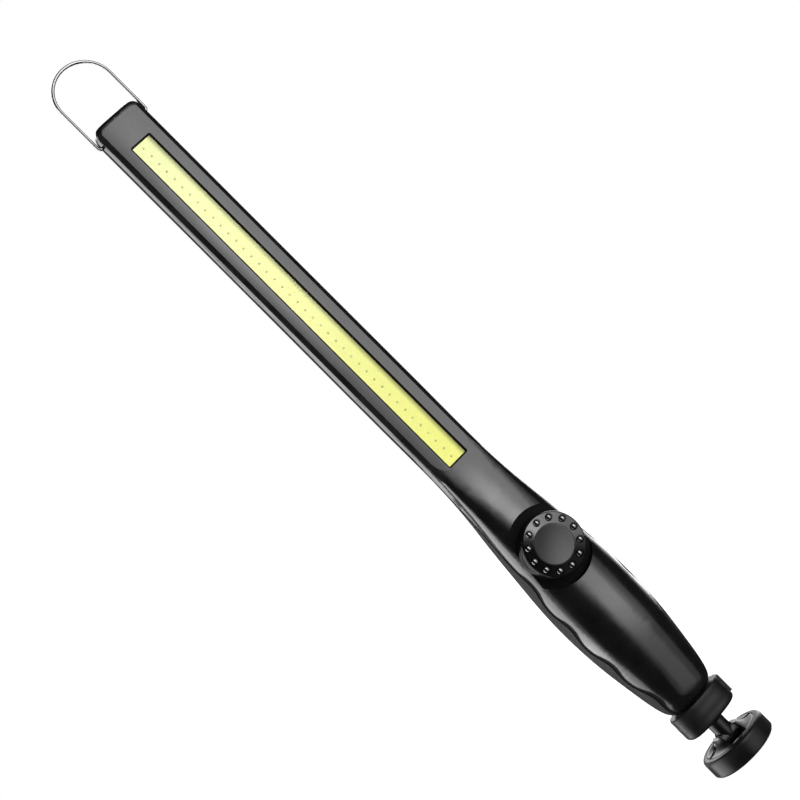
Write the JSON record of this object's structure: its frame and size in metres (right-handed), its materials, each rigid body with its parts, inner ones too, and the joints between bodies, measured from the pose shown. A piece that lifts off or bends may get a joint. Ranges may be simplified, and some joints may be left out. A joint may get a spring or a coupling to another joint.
{
  "type": "led wand work light",
  "caption": "Slim LED wand work light: long recessed light window, swinging wire bail at the tip, rotary dimmer knob, rubber-backed handle and a tilting, swivelling magnetic foot.",
  "frame": {"origin": "centre of the foot's magnet face", "axes": "+Z along the wand from the foot to the bail, -Y out of the light window and the dimmer knob, +X across the wand along the tilt pin and the bail's pivot"},
  "size_m": [0.0418, 0.0378, 0.4378],
  "materials": {
    "foot_plastic": "satin black ABS",
    "hub_plastic": "satin black nylon",
    "bezel_plastic": "deep black ABS",
    "fastener_steel": "zinc-plated steel",
    "pin_steel": "ground steel",
    "washer_nylon": "natural nylon",
    "cup_steel": "pressed steel",
    "magnet": "nickel-plated magnet",
    "pad_rubber": "thin matt rubber",
    "collar_plastic": "satin black ABS",
    "stem_plastic": "satin black nylon",
    "housing_plastic": "satin-gloss black ABS",
    "inner_plastic": "plain black ABS",
    "grip_rubber": "soft-touch black rubber",
    "lens_clear": "clear polycarbonate",
    "phosphor": "silicone with yellow phosphor",
    "chip_ceramic": "LED chips",
    "board_aluminium": "plain aluminium",
    "cell_wrap": "shrink-wrapped steel can",
    "nickel": "nickel strip",
    "pad_foam": "closed-cell foam",
    "board_green": "solder mask",
    "component_black": "moulded parts",
    "socket_steel": "tinned steel",
    "light_pipe": "frosted clear acrylic",
    "pot_case": "phenolic case",
    "lead_red": "PVC insulation",
    "lead_black": "PVC insulation",
    "neck_plastic": "black acetal",
    "knob_plastic": "gloss black ABS",
    "cap_plastic": "satin black ABS",
    "shaft_aluminium": "turned aluminium",
    "bail_wire": "bright plated spring wire",
    "flap_rubber": "soft black rubber"
  },
  "bodies": {
    "foot": {"foot_housing": "foot_plastic", "hinge_hub": "hub_plastic", "hub_screws": "fastener_steel", "hinge_pin": "pin_steel", "friction_washers": "washer_nylon", "magnet_cup": "cup_steel", "foot_magnet": "magnet", "foot_pad": "pad_rubber"},
    "swivel": {"swivel_collar": "collar_plastic", "swivel_stem": "stem_plastic", "swivel_bolt": "fastener_steel", "swivel_washer": "washer_nylon"},
    "light_bar": {"front_housing": "housing_plastic", "blade_back": "housing_plastic", "handle_back": "inner_plastic", "rear_grip": "grip_rubber", "case_screws": "fastener_steel", "window_bezel": "bezel_plastic", "lens_window": "lens_clear", "phosphor_strip": "phosphor", "led_chips": "chip_ceramic", "cob_board": "board_aluminium", "heat_sink": "board_aluminium", "battery_cell": "cell_wrap", "battery_tabs": "nickel", "battery_pads": "pad_foam", "control_board": "board_green", "board_parts": "component_black", "usb_socket": "socket_steel", "charge_light": "light_pipe", "dimmer_pot": "pot_case", "pot_nut": "fastener_steel", "battery_lead_red": "lead_red", "battery_lead_black": "lead_black", "led_lead_red": "lead_red", "led_lead_black": "lead_black", "swivel_neck": "neck_plastic"},
    "knob": {"dimmer_knob": "knob_plastic", "knob_beads": "knob_plastic", "knob_cap": "cap_plastic", "pot_shaft": "shaft_aluminium"},
    "bail": {"bail_hook": "bail_wire"},
    "port_flap": {"port_cover": "flap_rubber"}
  },
  "joints": [
    {"name": "foot_tilt", "type": "hinge", "parent": "foot", "child": "swivel", "pos_m": [0, 0, 0.0106], "axis": [1, 0, 0], "range_deg": [-50, 50]},
    {"name": "handle_swivel", "type": "hinge", "parent": "swivel", "child": "light_bar", "pos_m": [0, 0, 0.0337], "axis": [0, 0, 1], "continuous": true},
    {"name": "dimmer_turn", "type": "hinge", "parent": "light_bar", "child": "knob", "pos_m": [0, -0.0192, 0.1296], "axis": [0, 1, 0], "range_deg": [0, 270]},
    {"name": "bail_swing", "type": "hinge", "parent": "light_bar", "child": "bail", "pos_m": [0, 0, 0.3982], "axis": [1, 0, 0], "range_deg": [-165, 165]},
    {"name": "flap_open", "type": "hinge", "parent": "light_bar", "child": "port_flap", "pos_m": [0, 0.0108, 0.1527], "axis": [1, 0, 0], "range_deg": [0, 110]}
  ]
}
